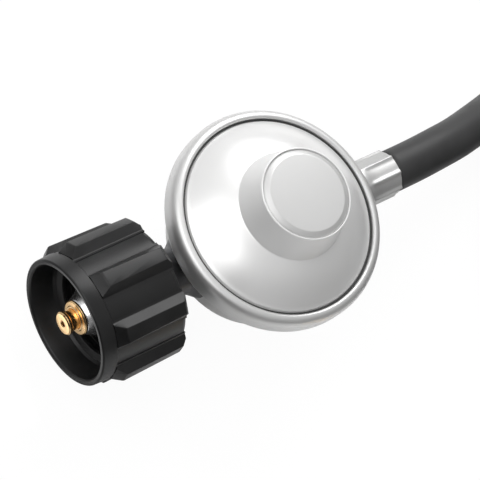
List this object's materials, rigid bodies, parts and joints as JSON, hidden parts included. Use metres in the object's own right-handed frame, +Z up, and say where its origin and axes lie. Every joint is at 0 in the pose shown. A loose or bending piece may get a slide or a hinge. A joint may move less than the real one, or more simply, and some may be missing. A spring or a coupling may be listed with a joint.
{
  "type": "propane regulator hose",
  "caption": "Low-pressure gas regulator with a hand-tightened plastic cylinder nut and a brass probe, and a black rubber hose put away in a tied coil with a flare nut on its far end.",
  "frame": {"origin": "middle of the regulator's box without its hose, on the plane that it lies on", "axes": "+X from the cylinder nut to the hose's exit, +Z up along the diaphragm axis, +Y completes a right-handed frame"},
  "size_m": [0.3196, 0.1916, 0.063],
  "materials": {
    "cast_body": "satin, lightly brushed rim",
    "spun_bonnet": "satin turned metal",
    "cap_metal": "flat satin",
    "nut_plastic": "moulded black, slight sheen",
    "bushing_plastic": "moulded black",
    "screw_plastic": "moulded grey",
    "brass": "machined",
    "fitting_brass": "machined",
    "plated_nipple": "bright turned plating",
    "steel": "zinc plated",
    "spring_steel": "drawn wire",
    "soft_rubber": "moulded nitrile",
    "hose_rubber": "smooth extruded cover",
    "ferrule_metal": "crimped, satin",
    "tie_nylon": "natural nylon"
  },
  "bodies": {
    "regulator": {"body_casting": "cast_body", "bonnet": "spun_bonnet", "cap": "cap_metal", "adjusting_screw": "screw_plastic", "vent_screen": "steel", "main_spring": "spring_steel", "diaphragm": "soft_rubber", "lever_pin": "steel", "lever_bracket": "steel", "bracket_screws": "steel", "orifice": "brass", "inlet_nipple": "plated_nipple", "probe_guide": "brass", "probe_spring": "spring_steel", "hose_barb": "fitting_brass", "crimp_ferrule": "ferrule_metal", "hose_grip": "hose_rubber", "hose_run": "hose_rubber", "hose_coil": "hose_rubber", "coil_ties": "tie_nylon", "hose_tail": "hose_rubber", "end_ferrule": "ferrule_metal", "end_grip": "hose_rubber", "end_stem": "fitting_brass"},
    "diaphragm_stack": {"diaphragm_plate": "steel", "diaphragm_post": "brass"},
    "lever": {"lever": "steel"},
    "valve": {"valve_carriage": "brass", "valve_pad": "soft_rubber"},
    "probe": {"probe": "brass"},
    "thermal_bushing": {"thermal_bushing": "bushing_plastic"},
    "coupling_nut": {"coupling_nut": "nut_plastic"},
    "flare_nut": {"flare_nut": "fitting_brass"}
  },
  "joints": [
    {"name": "nut_slide", "type": "slide", "parent": "regulator", "child": "thermal_bushing", "axis": [1, 0, 0], "range_m": [0, 0.005]},
    {"name": "nut_spin", "type": "hinge", "parent": "thermal_bushing", "child": "coupling_nut", "pos_m": [-0.045, 0, 0.02381], "axis": [1, 0, 0], "continuous": true},
    {"name": "probe_push", "type": "slide", "parent": "regulator", "child": "probe", "axis": [1, 0, 0], "range_m": [0, 0.0025], "stiffness_N_per_m": 400, "springref_m": -0.003, "deforming": ["probe_spring"]},
    {"name": "diaphragm_lift", "type": "slide", "parent": "regulator", "child": "diaphragm_stack", "axis": [0, 0, 1], "range_m": [0, 0.0016], "stiffness_N_per_m": 1500, "springref_m": -0.004, "deforming": ["main_spring", "diaphragm"]},
    {"name": "lever_swing", "type": "hinge", "parent": "regulator", "child": "lever", "pos_m": [0.00115, 0, 0.01931], "axis": [0, -1, 0], "range_deg": [0, 10.42]},
    {"name": "valve_slide", "type": "slide", "parent": "regulator", "child": "valve", "axis": [-1, 0, 0], "range_m": [0, 0.00082]},
    {"name": "flare_nut_spin", "type": "hinge", "parent": "regulator", "child": "flare_nut", "pos_m": [0.044, -0.14353, 0.00953], "axis": [1, 0, 0], "continuous": true}
  ],
  "couplings": [
    {"joint": "lever_swing", "follows": "diaphragm_lift", "rad_per_m": 113.64},
    {"joint": "valve_slide", "follows": "diaphragm_lift", "ratio": 0.51136}
  ]
}
